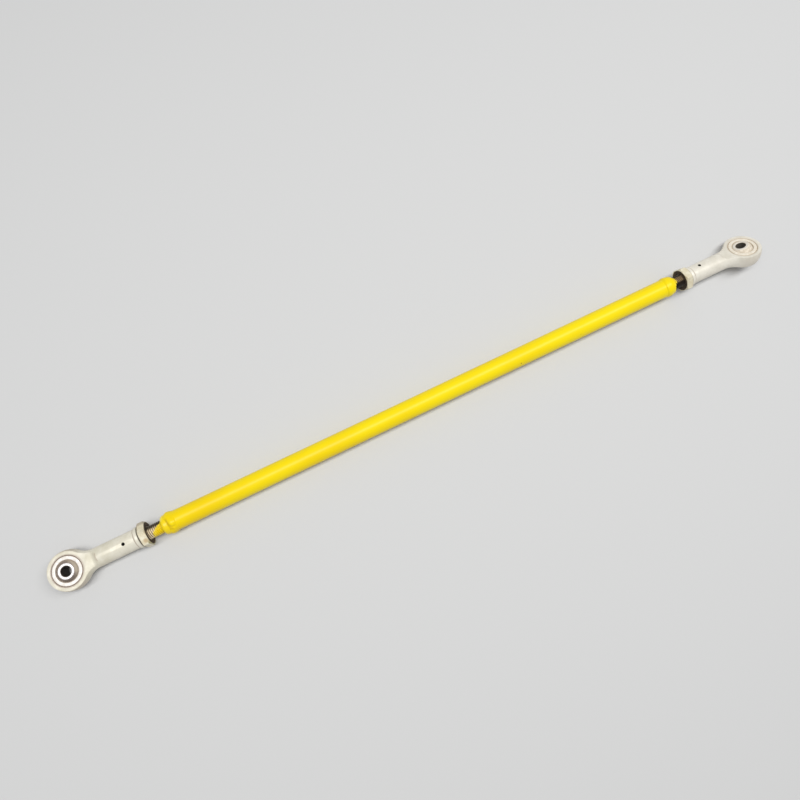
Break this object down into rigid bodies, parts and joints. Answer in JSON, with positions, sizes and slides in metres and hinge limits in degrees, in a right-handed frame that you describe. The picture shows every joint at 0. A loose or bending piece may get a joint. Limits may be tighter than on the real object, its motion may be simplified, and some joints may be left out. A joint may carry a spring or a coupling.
{
  "type": "aircraft push-pull control rod",
  "caption": "Straight yellow push-pull control rod with welded threaded plugs, check nuts and adjustable self-aligning rod ends.",
  "frame": {"origin": "centre of the left bearing", "axes": "+X along the rod to the right bearing, +Z along the bore of the left bearing"},
  "size_m": [0.39, 0.019, 0.0149],
  "materials": {
    "yellow_paint": "bright yellow gloss enamel on steel tube and weld, with small specks and runs",
    "plated_thread": "tan plated steel thread, greasy, with yellow overspray",
    "nut_finish": "pale warm grey paint on steel, worn to plating at a corner",
    "rod_end_finish": "pale warm grey satin finish on steel",
    "race_finish": "pale satin steel race with a dark staking groove",
    "liner": "brown slippery fabric liner, dirty",
    "ball_steel": "ground steel ball with bright flat faces"
  },
  "bodies": {
    "rod": {"tube": "yellow_paint", "left_threaded_plug": "plated_thread", "right_threaded_plug": "plated_thread", "left_weld_bead": "yellow_paint", "right_weld_bead": "yellow_paint"},
    "left_nut": {"left_check_nut": "nut_finish"},
    "left_end": {"left_rod_end": "rod_end_finish", "left_bearing_race": "race_finish", "left_bearing_liner": "liner"},
    "left_ball": {"left_bearing_ball": "ball_steel"},
    "right_nut": {"right_check_nut": "nut_finish"},
    "right_end": {"right_rod_end": "rod_end_finish", "right_bearing_race": "race_finish", "right_bearing_liner": "liner"},
    "right_ball": {"right_bearing_ball": "ball_steel"}
  },
  "joints": [
    {"name": "left_nut_travel", "type": "slide", "parent": "rod", "child": "left_nut", "axis": [-1, 0, 0], "range_m": [-0.00181, 0.00181]},
    {"name": "left_end_turn", "type": "hinge", "parent": "left_nut", "child": "left_end", "pos_m": [0, 0, 0], "axis": [-1, 0, 0], "range_deg": [-720, 720]},
    {"name": "right_nut_travel", "type": "slide", "parent": "rod", "child": "right_nut", "axis": [1, 0, 0], "range_m": [-0.00181, 0.00181]},
    {"name": "right_end_turn", "type": "hinge", "parent": "right_nut", "child": "right_end", "pos_m": [0.371, 0, 0], "axis": [1, 0, 0], "range_deg": [-720, 720]},
    {"name": "left_ball_swivel", "type": "hinge", "parent": "left_end", "child": "left_ball", "pos_m": [0, 0, 0], "axis": [1, 0, 0], "range_deg": [-16, 16]},
    {"name": "right_ball_swivel", "type": "hinge", "parent": "right_end", "child": "right_ball", "pos_m": [0.371, 0, 0], "axis": [-0.6428, -0.6425, 0.4172], "range_deg": [-31.5, 0.5]}
  ],
  "couplings": [
    {"joint": "left_end_turn", "follows": "left_nut_travel", "rad_per_m": 6926.4},
    {"joint": "right_end_turn", "follows": "right_nut_travel", "rad_per_m": 6926.4}
  ]
}
